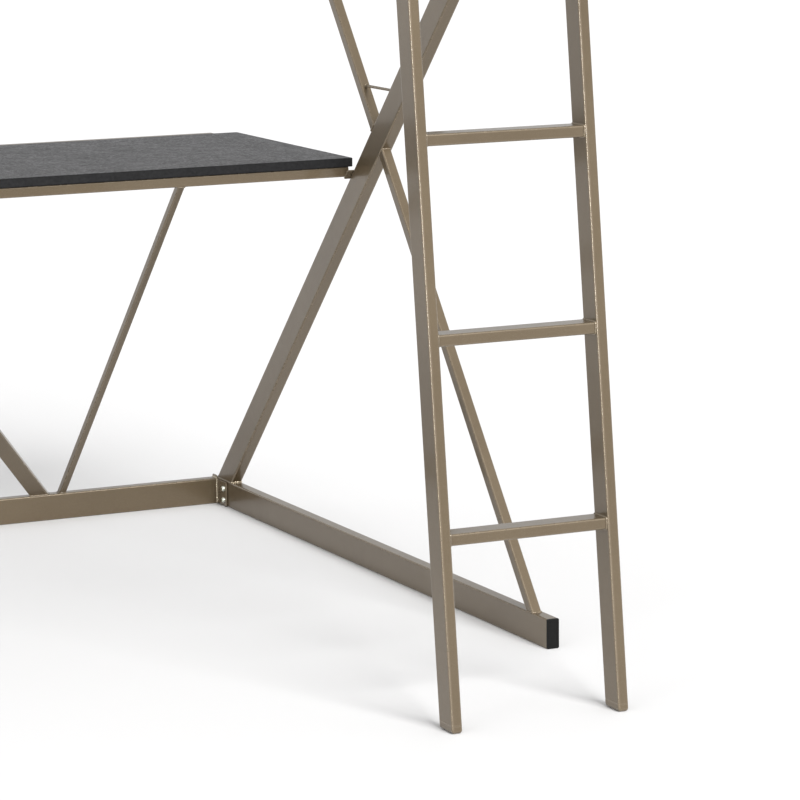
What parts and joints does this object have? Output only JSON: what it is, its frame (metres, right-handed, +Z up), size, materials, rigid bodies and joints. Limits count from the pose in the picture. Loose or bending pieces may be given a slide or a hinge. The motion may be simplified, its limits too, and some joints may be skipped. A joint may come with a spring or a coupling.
{
  "type": "loft bed with desk",
  "caption": "Full-size steel loft bed with X-shaped ends, a wide desk board on a slanted truss beneath it, guard hoops, and a leaning ladder that hooks over the front rail.",
  "frame": {"origin": "on the floor, at the middle of the footprint: half the length along X, and half the depth from the ladder's feet to the skids' rear ends along Y", "axes": "+X along the bed's length, to the right of someone facing the ladder; +Y from the ladder towards the rear floor rail; +Z up"},
  "size_m": [2.035, 1.8052, 1.8785],
  "materials": {
    "coat": "semi-gloss champagne-taupe metallic powder coat",
    "laminate": "black satin laminate on particle board",
    "plug": "black moulded plug, finely textured",
    "zinc": "zinc plated"
  },
  "bodies": {
    "frame": {"skid_left": "coat", "skid_cap_front_left": "plug", "skid_cap_rear_left": "plug", "main_diagonal_left": "coat", "counter_diagonal_lower_left": "coat", "counter_diagonal_upper_left": "coat", "gap_rod_left": "coat", "end_rail_left": "coat", "end_plate_left": "coat", "plate_bolt_upper_left": "zinc", "plate_bolt_lower_left": "zinc", "guard_hoop_left": "coat", "guard_bar_left": "coat", "skid_right": "coat", "skid_cap_front_right": "plug", "skid_cap_rear_right": "plug", "main_diagonal_right": "coat", "counter_diagonal_lower_right": "coat", "counter_diagonal_upper_right": "coat", "gap_rod_right": "coat", "end_rail_right": "coat", "end_plate_right": "coat", "plate_bolt_upper_right": "zinc", "plate_bolt_lower_right": "zinc", "guard_hoop_right": "coat", "guard_bar_right": "coat", "floor_rail_rear": "coat", "side_rail_front": "coat", "side_rail_rear": "coat", "deck_centre_rail": "coat", "deck_panel_left": "coat", "deck_panel_right": "coat", "guard_hoop_front": "coat", "guard_bar_front": "coat", "guard_hoop_rear": "coat", "guard_bar_rear": "coat", "desk_top": "laminate", "desk_front_rail": "coat", "desk_rear_rail": "coat", "desk_side_rail_left": "coat", "desk_strut_left": "coat", "desk_brace_left": "coat", "desk_prop_left": "coat", "desk_side_rail_right": "coat", "desk_strut_right": "coat", "desk_brace_right": "coat", "desk_prop_right": "coat"},
    "ladder": {"ladder_stile_left": "coat", "ladder_stile_right": "coat", "ladder_foot_left": "coat", "ladder_foot_right": "coat", "ladder_hook_left": "coat", "ladder_hook_right": "coat", "ladder_rung_1": "coat", "ladder_rung_2": "coat", "ladder_rung_3": "coat", "ladder_rung_4": "coat", "ladder_rung_5": "coat"}
  },
  "joints": [
    {"name": "ladder_lift", "type": "slide", "parent": "frame", "child": "ladder", "axis": [0, 0, 1], "range_m": [0, 0.06]}
  ]
}
